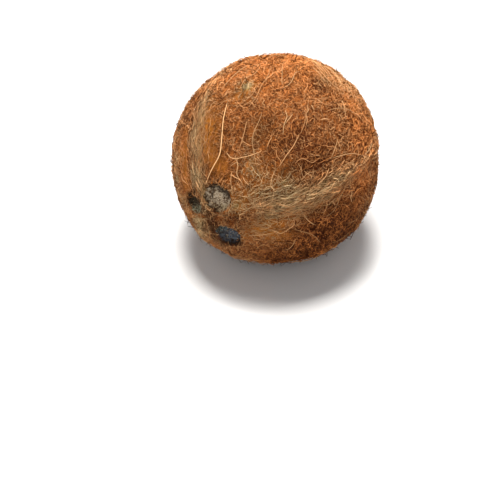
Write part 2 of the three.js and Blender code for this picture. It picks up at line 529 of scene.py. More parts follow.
# %% [markdown]
# ## Tints and lie of the coat
#
# No side of a coconut looks like another. Weather and handling leave some of it bright and
# orange, some dull and dark, and some rubbed nearly bare, with the fibres there combed flat
# along the nut. Low on the nut some zones are darker also as painted shade, where it would lie
# in shadow. Each such zone is a soft round spot with a tone, a hue and a bareness, and what
# a place looks like is the sum of the zones over it. The shell's material and the fibres read
# the same zones, so they agree.

# %% Zones of the coat
ZONES = [  # polar, around, spread (degrees), tone, hue, bareness, coarseness
    # the bright orange crown and its golden left edge
    (98, 98, 28, 0.12, -0.2, 0.0, 1.3),
    (78, 118, 13, 0.11, -0.06, 0.0, 0.6),
    (84, 103, 9, 0.14, 0.12, 0.0, 0.4),
    (112, 95, 8, 0.12, -0.2, 0.0, 0.3),
    (110, 86, 9, 0.14, 0.14, 0.0, 0.6),
    # a pale golden sweep, with duller ground in front of it and a reddish side under it
    (117, 57, 8, 0.28, 0.3, 0.0, 2.0),
    (97, 67, 7, -0.2, 0.1, 0.0, 0.3),
    (96, 48, 7, -0.1, 0.0, 0.0, 0.0),
    (106, 36, 17, 0.10, -0.2, 0.0, 0.9),
    # the side beside the left seam, rubbed golden by the eyes and redder where it starts
    (31, 109, 8, -0.1, 0.0, 0.8, -0.6),
    (44, 112, 8, -0.12, 0.0, 0.8, -0.6),
    (55, 118, 8, -0.06, 0.05, 0.5, -0.3),
    (65, 130, 8, -0.19, -0.25, 0.0, 0.0),
    (44, 128, 6, -0.2, -0.1, 0.0, 0.0),
    (26, 86, 5, -0.04, -0.2, 0.8, 0.0),
    (52, 74, 12, -0.13, 0.0, 0.2, -0.2),
    # a worn grey-green patch, and the olive ground round it
    (67, 98, 7, -0.06, 0.25, 0.4, 0.0),
    (73, 98, 4.2, -0.16, 0.7, 0.8, 0.2),
    # an orange strip beyond the left seam, and a pale one beyond that
    (20, 163, 4.5, 0.04, -0.1, 1.3, -0.5),
    (27, 149, 4.5, 0.04, -0.15, 1.3, -0.5),
    (36, 141, 5, 0.04, -0.2, 1.2, -0.5),
    (45, 138, 5, 0.0, -0.2, 0.7, -0.3),
    (24, 194, 4, 0.1, 0.45, 0.7, -0.3),
    (31, 174, 4, 0.2, 0.6, 0.7, -0.3),
    (37, 156, 4.5, 0.2, 0.5, 0.9, -0.3),
    # olive ground by the eyes
    (22, 40, 8, 0.12, 0.45, 0.45, -0.6),
    (36, 45, 9, 0.02, 0.42, 0.3, -0.5),
    (35, 64, 7, 0.03, 0.3, 0.1, -0.2),
    (48, 36, 8, -0.08, 0.3, 0.2, -0.3),
    # the dull middle, and the rough ground past it
    (64, 42, 16, -0.16, -0.08, 0.0, 0.1),
    (74, 16, 10, 0.0, 0.05, 0.0, 0.3),
    (101, 24, 12, 0.1, -0.2, 0.0, 1.4),
    (90, 4, 8, 0.0, -0.3, 0.0, 0.4),
    # the pale lower flank of the right seam
    (39, 7, 5, 0.26, 0.2, 0.3, 0.2),
    (47, 13, 5, 0.28, 0.2, 0.2, 0.2),
    (58, 15, 5, 0.26, 0.15, 0.2, 0.2),
    (67, 16, 5, 0.2, 0.0, 0.2, 0.2),
    (77, 16, 5, 0.26, -0.1, 0.0, 0.2),
    (87, 15, 6, 0.4, -0.1, 0.0, 0.3),
    (91, 9, 8, 0.26, 0.0, 0.0, 0.5),
    # the dark red side under the right seam, paler and smoother by the soft eye, and darkened low down
    # partly as painted shade
    (56, -16, 15, -0.2, -0.45, 0.0, 1.0),
    (71, -4, 9, -0.14, -0.4, 0.0, 1.0),
    (27, -7, 6, 0.12, 0.35, 0.8, -0.2),
    (37, -12, 8, 0.1, 0.2, 0.6, 0.0),
    # these lower spots are darker partly as painted shade, where the nut lies in shadow low down
    (84, -24, 12, -0.28, -0.3, 0.0, 0.4),
    (68, -42, 14, -0.2, -0.3, 0.0, 0.2),
    (52, -48, 14, -0.3, -0.55, 0.0, 0.5),
    # dark fuzz over the left eye and between the eyes, with a trail along the right seam
    (13, 158, 4, -0.4, 0.0, 0.0, 0.0),
    (5, 250, 5, -0.24, 0.25, 0.0, 0.6),
    (15, 253, 4, -0.15, 0.0, 0.0, 0.6),
    (10, 268, 4, -0.25, 0.05, 0.0, 0.6),
    (14, 13, 3, -0.22, -0.05, 0.0, 0.8),
    (20, 12, 3, -0.12, -0.05, 0.0, 0.8),
    # paler and greener spots beside the upper and the soft eye
    (16, 32, 3.5, 0.1, 0.35, 0.4, -0.3),
    (21, -30, 3.5, 0.12, 0.2, 0.4, 0.0),
    # grey-green ground below the left eye, dark beyond it, with a tan edge below
    (10, 230, 3.5, 0.24, 0.5, 0.4, 0.3),
    (17, 227, 4.5, 0.08, 0.6, 0.6, 0.3),
    (20, 275, 5, -0.22, 0.2, 0.1, 0.3),
    (23, 212, 4.5, 0.08, 0.15, 0.8, -0.3),
    (28, 240, 5, 0.05, 0.15, 0.7, -0.2),
    # the pinkish start of the right seam's flank
    (33, 3, 6, 0.05, 0.1, 0.3, 0.2),
    # the side that the nut lies on, darkened as painted shade
    (95, 270, 40, -0.1, -0.1, 0.0, 0.0),
]
MOTTLE_SCALE = 6.0
HUE_SHIFT = (5.0, 5.0, 5.0)  # takes the hue's wandering from another part of the noise
TONE_MOTTLE, HUE_MOTTLE = 0.08, 0.9  # how much tone and hue wander besides
SEAM_HUE, SEAM_TONE = 0.5, 0.03  # what a seam adds to them
SEAM_BANDS = [7.5, 5.4, 5.0]  # half the width of the tinted band along each seam
SEAM_TINT_STARTS = [radians(27), radians(3), radians(16)]  # polar, for each seam
SEAM_TINT_ENDS = [radians(94), radians(72), radians(78)]
SEAM_TINT_FADE, SEAM_TINT_END_FADE = radians(4), radians(12)


def outward_from(place):
    """Unit vector from the nut's middle to a place, as a flow."""
    middle = join(place.tree, *CENTRE)
    return on_vectors("NORMALIZE", on_vectors("SUBTRACT", place, middle))


def zone_sums(outward):
    """Tone, hue, bareness and coarseness where a direction meets the surface."""
    shift = on_vectors("ADD", outward, join(outward.tree, *HUE_SHIFT))
    tone = TONE_MOTTLE * (cloud(outward.tree, outward, MOTTLE_SCALE, 1.0) - 0.5)
    hue = HUE_MOTTLE * (cloud(outward.tree, shift, MOTTLE_SCALE) - 0.5)
    sums = [tone, hue, 0.0, 0.0]
    for polar, around, spread, *amounts in ZONES:
        spot = join(outward.tree, *heading_to(radians(polar), radians(around)))
        match = on_vectors("DOT_PRODUCT", outward, spot)
        weight = bell(arccos(least(match, 1.0)) / radians(spread))
        sums = [total + weight * amount for total, amount in zip(sums, amounts)]
    return sums


def seam_band(seam_mm, polar):
    """1 on a seam, 0 away from it, and fading where its tint starts and ends."""
    band = 0.0
    for number, across in enumerate(parts_of(seam_mm)):
        begun = 1.0 - fade_out(polar, SEAM_TINT_STARTS[number], SEAM_TINT_FADE)
        goes_on = fade_out(polar, SEAM_TINT_ENDS[number], SEAM_TINT_END_FADE)
        band = most(band, bell(across / SEAM_BANDS[number]) * begun * goes_on)
    return band


TINY = 1e-6  # keeps divisions by a girth off zero


def streak_place(place, across, along):
    """Coordinates in which a noise pattern is drawn out along the nut."""
    x, y, z = parts_of(outward_from(place))
    girth = root(most(x * x + z * z, TINY))
    return join(place.tree, across * x / girth, along * arccos(-1.0 * y), across * z / girth)


# %% [markdown]
# ## The fibres' material
#
# A real coir fibre is one plain colour from end to end, a little darker at its root, but no
# two are alike. Thousands of materials would be wasteful. Instead there is one colour card: a
# square with dark fibres to the left and pale ones to the right, reddish ones at the bottom
# and grey-green ones at the top. Each fibre is pinned to its own small spot on that card by
# its UV map, and the material only has to draw the card.

# %% Colour card
CARD = {
    "dark red": (0.034, 0.005, 0.001, 1.0),
    "pale red": (0.78, 0.28, 0.078, 1.0),
    "dark green": (0.045, 0.019, 0.004, 1.0),
    "pale green": (0.76, 0.55, 0.29, 1.0),
}
CARD_MAP = "OFBake"  # the name of the fibres' UV map
FIBRE_ROUGHNESS, FIBRE_SHINE = 0.85, 0.03


def mix_colours(tree, share, a, b):
    node = add_node(tree, "ShaderNodeMix", data_type="RGBA")
    for name, value in (("Factor_Float", share), ("A_Color", a), ("B_Color", b)):
        feed(tree, next(s for s in node.inputs if s.identifier == name), value)
    return Flow(tree, next(s for s in node.outputs if s.identifier == "Result_Color"))


def material_parts(material):
    """A material's empty node tree, with its shader."""
    material.use_nodes = True
    tree = material.node_tree
    return tree, tree.nodes["Principled BSDF"]


def make_fibre_material():
    material = bpy.data.materials.new("coir_fibre")
    tree, shader = material_parts(material)
    tone, hue, _ = parts_of(flow_from(tree, "ShaderNodeUVMap", uv_map=CARD_MAP))
    dark = mix_colours(tree, hue, CARD["dark red"], CARD["dark green"])
    pale = mix_colours(tree, hue, CARD["pale red"], CARD["pale green"])
    feed(tree, shader.inputs["Base Color"], mix_colours(tree, tone, dark, pale))
    shader.inputs["Roughness"].default_value = FIBRE_ROUGHNESS
    shader.inputs["Specular IOR Level"].default_value = FIBRE_SHINE
    return material


fibre_skin = make_fibre_material()

# %% [markdown]
# ## Growing fibres
#
# Every fibre is made alike. Its route is drawn flat, then each of its points is dropped on to
# the shell by a ray from the nut's middle, and lifted off it by as much as the fibre stands
# proud there. The line gets a thin three-sided skin, which is enough at this size, and its
# place on the colour card.

# %% From a line to a fibre on the shell


def drop_on_shell(shell_mesh, place, lift):
    """The place straight over or under a place, at a height in millimetres off the shell."""
    tree = place.tree
    outward = outward_from(place)
    ray = {
        "Target Geometry": shell_mesh,
        "Source Position": join(tree, *CENTRE),
        "Ray Direction": outward,
        "Ray Length": 2 * EQUATOR_RADIUS * MM,
    }
    hit = flow_from(tree, "GeometryNodeRaycast", ray, "Hit Position")
    return on_vectors("ADD", hit, scaled(outward, lift * MM))


SIDES = 3  # of the section of a fibre
CARD_SPOT = 0.02  # how much of the card one fibre's girth takes up


def skin_lines(lines, half_thickness, tone, hue):
    """Turns lines into thin closed tubes, pinned to the colour card."""
    tree = lines.tree
    lines = write_mark(lines, "tone", tone)
    lines = write_mark(lines, "hue", hue)
    section = flow_from(tree, "GeometryNodeCurvePrimitiveCircle", {"Resolution": SIDES})
    turn = flow_from(tree, "GeometryNodeSplineParameter", output="Index") / (SIDES - 1.0)
    section = write_mark(section, "turn", turn)
    inputs = {"Curve": lines, "Profile Curve": section, "Scale": half_thickness * MM, "Fill Caps": True}
    tubes = flow_from(tree, "GeometryNodeCurveToMesh", inputs)
    across = read_mark(tree, "turn")
    card_tone = read_mark(tree, "tone") + across * across * CARD_SPOT
    card_hue = read_mark(tree, "hue") + across * CARD_SPOT
    return write_mark(tubes, CARD_MAP, join(tree, card_tone, card_hue, 0.0), "FLOAT2", "CORNER")


# %% [markdown]
# ## The coat
#
# The coat is sown like grass: points are scattered over the shell, and a fibre grows through
# each. One tree sows every layer, and its named inputs say where the layer grows and what its
# fibres are like. Over most of the nut they lie every way and curl, because handling felts
# them. Along the seams and on rubbed ground they stay combed along the nut.

# %% Random draws and directions on the nut
NUT_AXIS = (0.003, 1.0, 0.002)  # a hair off Y, so that it is never straight outward


def draw(tree, fibre, seed, number, low=0.0, high=1.0):
    """A random number for each fibre; number keeps the draws apart."""
    inputs = {"ID": fibre, "Seed": seed + float(number), 2: low, 3: high}
    return flow_from(tree, "FunctionNodeRandomValue", inputs, 1)


def directions_at(place):
    """Unit vectors along the nut, towards its tip, and round it."""
    tree = place.tree
    outward = outward_from(place)
    axis = join(tree, *NUT_AXIS)
    share = on_vectors("DOT_PRODUCT", outward, axis)
    along = on_vectors("NORMALIZE", on_vectors("SUBTRACT", axis, scaled(outward, share)))
    return along, on_vectors("CROSS_PRODUCT", outward, along)


def points_in_line(tree, count):
    """Lines of count points, all at one place, one for each point that they are put on."""
    line = flow_from(tree, "GeometryNodeCurvePrimitiveLine")
    line = flow_from(tree, "GeometryNodeResampleCurve", {"Curve": line, "Count": count})
    return move_points(line, join(tree, 0.0, 0.0, 0.0))


# %% Where the coat grows
COAT_FROM_EYE = (0.3, 4.0)  # the coat starts, and is full, this far from an eye's wall
SEAM_FROM_EYE = (-0.5, 2.0)  # the same for the seams' fibres
FRINGE_OFFSET, FRINGE_WIDTH = 1.3, 1.2  # where the fringe stands, off the wall
LINT_DEPTH = -1.0  # lint lies further in than this
EYE_ROOM = 8.0  # fibres nearer to an eye than this are shorter
BARE_THINNING, BARE_LIGHTNESS = 0.5, 0.1  # what rubbing takes off the coat, and adds to its tone
LEAST_COARSE = -0.8
SEAM_COMBING = 0.85
PATCH_SCALE, PATCH_EDGE = 180.0, (0.3, 0.62)  # the seams' tint is broken up into patches
LEAST_RISE = 1.2  # fibres start no lower than this over the floor
SQUARE_METRE = 1e4  # in square centimetres
PLACES = ("Lobe", "Any Lobe", "On Coat", "On Seams", "On Rims", "In Eyes")  # where a layer grows
TRAITS = (  # what its fibres are like: lengths in millimetres, curl in radians a millimetre
    *("Per Square Centimetre", "Shortest", "Longest", "Half Thickness", "Curl", "Height"),
    *("Loose Share", "Loose Height", "Combing", "Tone", "Tone Spread", "Hue", "Hue Spread"),
)
COAT_INPUTS = [(name, "NodeSocketFloat", 0.0) for name in (*PLACES, *TRAITS)]
COAT_INPUTS += [(name, "NodeSocketInt", 1) for name in ("Points", "Seed")]


def sow(tree, given, shell_mesh):
    """Points on the shell where the layer grows, marked with the tone, hue and lie there."""
    place = position_in(tree)
    tone, hue, bare, coarse = zone_sums(outward_from(place))
    band = seam_band(read_mark(tree, "seam_mm", "FLOAT_VECTOR"), read_mark(tree, "polar"))
    gap = gap_to_eyes(parts_of(read_mark(tree, "eye_mm", "FLOAT_VECTOR")))
    bare = within(bare, 0.0, 1.0)

    coat = rise(gap, *COAT_FROM_EYE) * (1.0 - BARE_THINNING * bare)
    rim = bell((gap - FRINGE_OFFSET) / FRINGE_WIDTH)
    pit = is_over(LINT_DEPTH, gap)
    presence = given["On Coat"] * coat + given["On Seams"] * band * rise(gap, *SEAM_FROM_EYE)
    presence = presence + given["On Rims"] * rim + given["In Eyes"] * pit
    off_lobe = is_over(size_of(read_mark(tree, "lobe") - given["Lobe"]), 0.5)
    presence = presence * most(1.0 - off_lobe, given["Any Lobe"])
    presence = presence * is_over(parts_of(place)[2], LEAST_RISE * MM)

    broken = rise(cloud(tree, place, PATCH_SCALE), *PATCH_EDGE)
    marks = {
        "presence": least(presence, 1.0),
        "zone_tone": tone + BARE_LIGHTNESS * bare + SEAM_TONE * band,
        "zone_hue": hue + SEAM_HUE * band * broken,
        "coarse": most(coarse, LEAST_COARSE),
        "room": rise(gap, 0.0, EYE_ROOM),
        "lie": most(bare, SEAM_COMBING * band),
    }
    for name, value in marks.items():
        shell_mesh = write_mark(shell_mesh, name, value)
    per_square_metre = given["Per Square Centimetre"] * SQUARE_METRE
    density = per_square_metre * read_mark(tree, "presence")
    inputs = {"Mesh": shell_mesh, "Density": density, "Seed": given["Seed"]}
    return flow_from(tree, "GeometryNodeDistributePointsOnFaces", inputs, distribute_method="RANDOM")


# %% [markdown]
# Each fibre of a layer gets its own draws, from its number and the layer's seed. From them
# follow its length, its bend and its heading, and so the place of each of its points on the
# flat. Fine noise then kinks it. The points are lifted into a low arch whose ends dip under the
# shell, and some fibres stand up loose at one end.

# %% The course of a fibre
FIBRE_ROOT = 0.35  # how far a fibre's ends dip under the shell
KINKS, KINK_SCALE = 2.1, 480.0  # how far, and how finely, fibres are bent this way and that
COMBED_KINKS = 0.8  # how much of that combing takes away
LEAST_LENGTH = 0.4  # the share of its length that a fibre keeps at an eye
COMBED_CURL = 0.25  # the share of its curl that a combed fibre keeps
NEARLY_STRAIGHT = 0.004  # keeps the bend off zero
COMBED_HEADING = 0.93  # how much of the freedom to lie every way combing takes away
STANDING = (0.25, 1.0)  # how high fibres stand, as shares of the layer's height
WAVE, WAVE_TURN, WAVE_START = 0.06, (5.0, 11.0), 6.0


def lines_on(points, count):
    """A line of count points for each point sown, with its number and the share along it."""
    tree = points.tree
    inputs = {"Points": points, "Instance": points_in_line(tree, count)}
    copies = flow_from(tree, "GeometryNodeInstanceOnPoints", inputs)
    lines = flow_from(tree, "GeometryNodeRealizeInstances", {0: copies})
    of_point = tree.nodes.new("GeometryNodeCurveOfPoint")
    fibre = Flow(tree, of_point.outputs["Curve Index"])
    return lines, fibre, Flow(tree, of_point.outputs["Index in Curve"]) / (count - 1.0)


def fibre_places(given, drawn, share, stands, combing):
    """Where the points of a fibre are on the flat, before they are dropped on the shell."""
    tree = share.tree
    length = drawn(1, given["Shortest"], given["Longest"])
    length = length * blend(LEAST_LENGTH, 1.0, read_mark(tree, "room"))
    bend = given["Curl"] * drawn(2, -1.0, 1.0)
    bend = blend(bend, COMBED_CURL * bend, read_mark(tree, "lie")) + NEARLY_STRAIGHT
    heading = math.pi * drawn(3, -1.0, 1.0) * (1.0 - COMBED_HEADING * combing)

    run = (share - 0.5) * length
    wave = WAVE * length * sin(share * drawn(6, *WAVE_TURN) + WAVE_START * stands)
    ahead = sin(bend * run) / bend
    aside = (1.0 - cos(bend * run)) / bend + wave
    start = position_in(tree)
    along, round_nut = directions_at(start)
    down = (ahead * cos(heading) - aside * sin(heading)) * MM
    side = (ahead * sin(heading) + aside * cos(heading)) * MM
    place = on_vectors("ADD", start, on_vectors("ADD", scaled(along, down), scaled(round_nut, side)))

    inputs = {"Vector": place, "Scale": KINK_SCALE, "Detail": 1.0}
    kinks = flow_from(tree, "ShaderNodeTexNoise", inputs, "Color")
    kinks = on_vectors("SUBTRACT", kinks, join(tree, 0.5, 0.5, 0.5))
    return on_vectors("ADD", place, scaled(kinks, KINKS * MM * (1.0 - COMBED_KINKS * combing)))


def fibre_lift(given, drawn, share, stands):
    arch = root(most(sin(math.pi * share), 0.0))
    lift = (given["Height"] * stands + FIBRE_ROOT) * arch - FIBRE_ROOT
    loose = is_over(given["Loose Share"], drawn(4))
    return lift + loose * given["Loose Height"] * stands * share * share


# %% The looks of a fibre, and the coat's tree
TAPER_START, TAPER_SPAN = 0.06, 0.88  # the part of a half turn over which a fibre swells and thins
GIRTHS = (0.6, 1.25)  # how thick fibres are, as shares of the layer's thickness
COARSE_GIRTH, COARSE_FLECKS = 0.2, 0.7  # how much of coarseness goes into girths and flecks
FEW_PALE = 1.5  # tones lie near the mean, and the few that are far off go this much further
FLECKING, FLECK_SCALE = 1.25, 1150.0  # how strongly, and how finely, tone varies along a fibre
FLECK_STREAKS = (60.0, 16.0)  # where it is combed, how finely across and along the nut instead
ON_CARD = (0.01, 0.97)  # keeps a fibre's spot on the colour card


def fibre_colours(given, drawn):
    """A fibre's tone and hue, from its zone, its own draws and the flecks along it."""
    tree = given["Tone"].tree
    coarse = 1.0 + read_mark(tree, "coarse")
    tone = given["Tone"] + read_mark(tree, "zone_tone")
    off_mean = drawn(8, -1.0, 1.0)
    tone = tone + given["Tone Spread"] * coarse * FEW_PALE * off_mean * size_of(off_mean)
    here = position_in(tree)
    specks = cloud(tree, here, FLECK_SCALE, 2.0)
    streaks = cloud(tree, streak_place(here, *FLECK_STREAKS), 1.0, 2.0)
    flecks = blend(specks, streaks, read_mark(tree, "lie")) - 0.5
    tone = tone + FLECKING * blend(1.0, coarse, COARSE_FLECKS) * flecks
    hue = given["Hue"] + read_mark(tree, "zone_hue")
    hue = hue + given["Hue Spread"] * drawn(9, -1.0, 1.0)
    return within(tone, *ON_CARD), within(hue, *ON_CARD)


def coat_tree(material):
    tree, given = new_tree("coat of fibres", COAT_INPUTS)
    lines, fibre, share = lines_on(sow(tree, given, given["Geometry"]), given["Points"])

    def drawn(number, low=0.0, high=1.0):
        return draw(tree, fibre, given["Seed"], number, low, high)

    stands = drawn(5, *STANDING)
    combing = most(read_mark(tree, "lie"), given["Combing"])
    place = fibre_places(given, drawn, share, stands, combing)
    lift = fibre_lift(given, drawn, share, stands)
    x, y, z = parts_of(drop_on_shell(given["Geometry"], place, lift))
    floor = (given["Half Thickness"] + FLOOR_CLEARANCE) * MM
    lines = move_points(lines, join(tree, x, y, most(z, floor)))

    taper = root(most(sin(math.pi * (TAPER_START + TAPER_SPAN * share)), 0.0))
    girth = drawn(7, *GIRTHS) * (1.0 + COARSE_GIRTH * read_mark(tree, "coarse"))
    half_thickness = given["Half Thickness"] * taper * girth
    finish_tree(skin_lines(lines, half_thickness, *fibre_colours(given, drawn)), material)
    return tree


# %% [markdown]
# Three layers make the felt. The undercoat is thick and dark and lies low, the overcoat over it
# is finer and paler, and the fuzz on top is short and mixed in tone. Each is grown lobe by lobe,
# which keeps the pieces small. Long straight fibres run along the seams, where the husk held on
# longest. A fringe lies round each eye, and a little grey lint inside. Dark stray hairs stand
# out of the mat and blur its outline, and a few long pale ones lie over it.

# %% Grow the coat
LOBES = {"upper": 0.0, "back": 1.0, "lower": 2.0}
FELT = {"undercoat": 100, "overcoat": 200, "fuzz": 300}  # seeds; each lobe adds its place in LOBES
LAYERS = {  # the values of TRAITS in their order, then Points
    "undercoat": (27.0, 2.5, 6.0, 0.17, 0.35, 0.5, 0.05, 0.8, 0.0, 0.26, 0.14, 0.2, 0.14, 3),
    "overcoat": (38.0, 2.0, 6.0, 0.125, 0.4, 0.9, 0.12, 1.4, 0.0, 0.46, 0.26, 0.25, 0.18, 5),
    "fuzz": (56.0, 1.0, 3.0, 0.11, 0.6, 1.2, 0.3, 0.6, 0.0, 0.5, 0.4, 0.25, 0.2, 3),
    "seam_fibres": (70.0, 5.0, 16.0, 0.13, 0.18, 1.0, 0.1, 1.0, 0.93, 0.45, 0.4, 0.3, 0.25, 5),
    "eye_fringe": (110.0, 5.0, 14.0, 0.12, 0.5, 0.5, 0.2, 0.5, 0.0, 0.3, 0.35, 0.4, 0.2, 5),
    "eye_lint": (16.0, 2.0, 4.5, 0.09, 0.5, 0.2, 0.0, 0.5, 0.0, 0.4, 0.4, 0.9, 0.2, 5),
    "stray_hairs": (4.0, 3.0, 6.0, 0.14, 0.4, 0.6, 1.0, 3.4, 0.0, -0.15, 0.15, 0.3, 0.1, 6),
    "pale_hairs": (1.3, 4.0, 11.0, 0.15, 0.2, 1.7, 0.2, 1.0, 0.0, 0.85, 0.1, 0.4, 0.15, 8),
}
SPARSE = {  # where a layer grows on all lobes, and its seed
    "seam_fibres": ("On Seams", 401),
    "eye_fringe": ("On Rims", 501),
    "eye_lint": ("In Eyes", 601),
    "stray_hairs": ("On Coat", 701),
    "pale_hairs": ("On Coat", 801),
}


def grow_layer(name, layer, where, seed):
    values = dict(zip((*TRAITS, "Points"), LAYERS[layer]))
    return grow(name, shell.data, coat, {**values, **where, "Seed": seed})


coat = coat_tree(fibre_skin)
fibres = []
for order, (lobe, number) in enumerate(LOBES.items()):
    for layer, seed in FELT.items():
        where = {"On Coat": 1.0, "Lobe": number}
        fibres.append(grow_layer(f"{layer}_{lobe}_lobe", layer, where, seed + order))
for name, (place, seed) in SPARSE.items():
    fibres.append(grow_layer(name, name, {place: 1.0, "Any Lobe": 1.0}, seed))

# %% [markdown]
# ## Loose strands
#
# A few dozen longer strands have worked free of the mat. They leave it, snake over it in a low
# arch and go back in. The solid model has them too, by the rule that is repeated here: starts
# spread evenly by the golden angle, then a length, a lean and a wave drawn for each. They are
# finer here than they are in the solid.

# %% The strands' rule
STRAND_COUNT = 66
STRAND_LENGTH = (13, 32)
STRAND_LEAN = radians(38)
STRAND_ARCH, STRAND_ROOT, STRAND_FULLNESS = 1.5, 1.3, 0.6
STRAND_SWAY = 1.5
STRAND_WAVES = (0.5, 1.2)
EYE_CLEARING, REST_CLEARING = radians(30), 14
POLE_GUARD = 0.3
CHANCE_SEED = 7
STRAND_STEPS = 18
STRAND_TONES, STRAND_HUES = (0.4, 0.25), (0.35, 0.25)  # the least, and what chance may add
STRAND_HALF_THICKNESS = 0.18


def chance(k, n):
    """A fixed number from 0 to 1 for the n-th draw of strand k."""
    x = math.sin(k * 12.9898 + n * 78.233 + CHANCE_SEED) * 43758.5453
    return x - math.floor(x)


def from_range(least_and_more, k, n):
    """The first number, and more by chance up to the second."""
    return least_and_more[0] + least_and_more[1] * chance(k, n)


def strand_route(k):
    """Points of strand k as polar, around and height over the coat."""
    start = math.acos(1 - 2 * (k + 0.5) / STRAND_COUNT)
    turn = k * math.pi * (3 - math.sqrt(5))
    length = blend(*STRAND_LENGTH, chance(k, 1))
    lean = STRAND_LEAN * (2 * chance(k, 2) - 1)
    waves = blend(*STRAND_WAVES, chance(k, 3))
    phase = math.tau * chance(k, 4)
    route = []
    for step in range(STRAND_STEPS + 1):
        share = step / STRAND_STEPS
        along = (share - 0.5) * length
        sway = STRAND_SWAY * math.sin(math.tau * waves * share + phase)
        down = along * math.cos(lean) - sway * math.sin(lean)
        side = along * math.sin(lean) + sway * math.cos(lean)
        polar = start + down / EQUATOR_RADIUS
        around = turn + side / (EQUATOR_RADIUS * max(math.sin(polar), POLE_GUARD))
        arch = max(math.sin(math.pi * share), 0.0) ** STRAND_FULLNESS
        route.append((polar, around, (STRAND_ARCH + STRAND_ROOT) * arch - STRAND_ROOT))
    return route


def is_clear(route):
    """Strands keep off the bare eye end and out from under the nut."""
    for polar, around, lift in route:
        height = (body_radius(polar, around) + lift) * heading_to(polar, around)[2]
        if angle_from(polar, around, 0.0, 0.0) < EYE_CLEARING:
            return False
        if height + CENTRE_HEIGHT / MM < REST_CLEARING:
            return False
    return True


def point_off(polar, around, radius):
    """A point in metres, straight out from the nut's middle."""
    return [c + radius * MM * part for c, part in zip(CENTRE, heading_to(polar, around))]


# %% [markdown]
# The strands that catch the eye from the front are drawn in the camera's frame, and
# then cast on to the shell, so that they lie on it whichever side they are seen from.

# %% Strands drawn in the camera's frame
BOLD_STRAND = [(229, 98), (224, 118), (222, 140), (220, 155), (212, 170), (205, 186)]
DRAWN_STRANDS = [  # each a list of pixels, from one end to the other
    [(247, 120), (244, 134), (239, 150)],
    [(285, 110), (287, 117), (284, 125), (283, 136)],
    [(293, 114), (289, 119), (285, 124)],
    [(341, 100), (343, 108), (346, 121)],
    [(276, 168), (272, 178), (271, 186), (274, 191), (272, 202)],
    [(226, 151), (230, 157), (236, 159), (240, 158), (252, 155), (262, 151)],
    [(236, 159), (238, 166), (237, 174), (243, 184)],
    [(300, 132), (294, 145), (286, 156), (279, 167)],
    [(338, 138), (334, 150), (330, 160)],
    [(329, 168), (325, 177), (318, 184)],
    [(271, 66), (268, 77), (262, 86), (256, 98), (248, 108)],
    [(260, 68), (255, 75), (247, 79), (240, 88)],
    [(283, 62), (282, 75), (282, 84)],
    [(306, 58), (314, 66), (322, 76), (332, 86), (342, 92)],
    [(300, 57), (312, 63), (321, 72), (329, 79)],
    [(372, 141), (367, 150), (363, 156)],
    [(303, 213), (308, 220), (316, 225)],
    [(247, 235), (262, 234), (276, 232)],
    [(296, 238), (292, 244), (286, 250)],
    [(232, 171), (231, 182), (233, 195)],
    [(196, 180), (199, 185), (202, 191)],
    [(296, 52), (308, 58), (318, 67), (328, 76)],
    [(312, 60), (322, 68), (330, 78), (338, 88)],
    [(318, 62), (327, 70), (336, 80), (343, 89)],
    [(324, 66), (333, 75), (341, 84)],
    [(309, 66), (318, 75), (326, 84)],
    [(304, 110), (307, 118), (306, 127)],
    [(272, 137), (269, 142), (267, 148)],
    [(243, 177), (245, 181), (250, 186)],
    [(311, 105), (314, 111)],
    [(320, 120), (325, 119), (330, 120)],
]
STEPS_BETWEEN = 4
DRAWN_ARCH, DRAWN_ROOT = 2.0, 0.5
DRAWN_TONES, DRAWN_HUES = (0.7, 0.22), (0.4, 0.25)
DRAWN_HALF_THICKNESS = 0.17
BOLD_TONE, BOLD_HALF_THICKNESS = 0.97, 0.32


def between(p, q, r, s, t):
    """The Catmull-Rom curve from q to r, at a share t of the way; p and s come before and after."""
    bend = (2 * p - 5 * q + 4 * r - s) * t**2
    return 0.5 * (2 * q + (r - p) * t + bend + (3 * q - p - 3 * r + s) * t**3)


def smooth_line(points, steps):
    """A smooth curve through points."""
    ends = [points[0], *points, points[-1]]
    line = []
    for corners in zip(ends, ends[1:], ends[2:], ends[3:]):
        for step in range(steps):
            line.append(tuple(between(*numbers, step / steps) for numbers in zip(*corners)))
    return [*line, points[-1]]


def cast_on_shell(pixel):
    """Where the camera sees the shell at a pixel, or None."""
    reach = (pixel[0] - FRAME / 2, FRAME / 2 - pixel[1], -VIEW_DISTANCE / PIXEL)
    ray = camera.matrix_world.to_3x3() @ Vector(reach)
    hit, place, _, _ = shell.ray_cast(camera.location, ray.normalized())
    return place if hit else None


def lean_back(place, lift):
    """Moves a place aside, so that once lifted off the shell it is seen where it was drawn."""
    rise_there = (place - Vector(CENTRE)).normalized() * lift * MM
    toward_camera = (camera.location - place).normalized()
    return place - (rise_there - toward_camera * rise_there.dot(toward_camera))


# %% Put the strands on the shell
STRAND_END = 0.35  # the share of its thickness that a strand has at its ends
STRAND_TAPER = (0.05, 0.9)  # the part of a half turn over which it swells and thins


def strands_mesh(strands):
    """Lines of edges with a lift, tone, hue and half thickness at each point."""
    places, edges = [], []
    marks = {"lift": [], "strand_tone": [], "strand_hue": [], "half_thickness": []}
    for line, lifts, tone, hue, half_thickness in strands:
        start = len(places)
        places += line
        edges += [(i, i + 1) for i in range(start, len(places) - 1)]
        for step, lift in enumerate(lifts):
            turn = STRAND_TAPER[0] + STRAND_TAPER[1] * step / (len(lifts) - 1)
            swell = STRAND_END + (1.0 - STRAND_END) * math.sin(math.pi * turn) ** 0.5
            for name, value in zip(marks, (lift, tone, hue, half_thickness * swell)):
                marks[name].append(value)
    mesh = bpy.data.meshes.new("strand_lines")
    mesh.from_pydata(places, edges, [])
    for name, values in marks.items():
        mesh.attributes.new(name, "FLOAT", "POINT").data.foreach_set("value", values)
    return mesh


